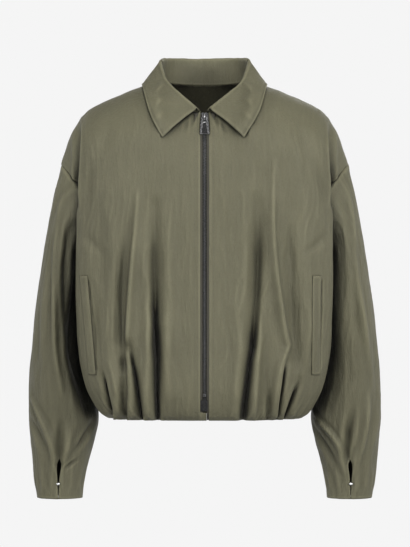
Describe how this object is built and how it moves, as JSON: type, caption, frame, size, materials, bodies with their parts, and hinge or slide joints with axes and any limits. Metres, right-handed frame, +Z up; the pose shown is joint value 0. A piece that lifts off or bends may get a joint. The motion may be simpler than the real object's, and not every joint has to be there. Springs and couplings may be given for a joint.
{
  "type": "bomber jacket",
  "caption": "Cropped bomber jacket with a shirt collar, dropped full sleeves, zip front and gathered hem, filled out with no wearer.",
  "frame": {"origin": "inside the neck, midway between the shoulders, where the wearer's shoulders hold it", "axes": "+Z up, -Y out of the front, +X towards the wearer's left"},
  "size_m": [0.5896, 0.2523, 0.7343],
  "materials": {
    "cloth": "matte",
    "zip_tape": "matte",
    "zip_metal": "satin",
    "silver": "polished"
  },
  "bodies": {
    "jacket": {"front_right": "cloth", "front_left": "cloth", "back": "cloth", "sleeve_right": "cloth", "sleeve_left": "cloth", "collar": "cloth", "pocket_welt_right": "cloth", "pocket_welt_left": "cloth", "zip_tape_right": "zip_tape", "zip_tape_left": "zip_tape", "zip_chain": "zip_metal", "zip_box": "zip_metal", "slider": "zip_metal", "cuff_hook_right": "silver", "cuff_hook_left": "silver"},
    "pull": {"pull_tab": "zip_metal"}
  },
  "joints": [
    {"name": "pull_tab_hinge", "type": "hinge", "parent": "jacket", "child": "pull", "pos_m": [0, -0.09566, -0.04785], "axis": [-1, 0, 0], "range_deg": [0, 120]}
  ]
}
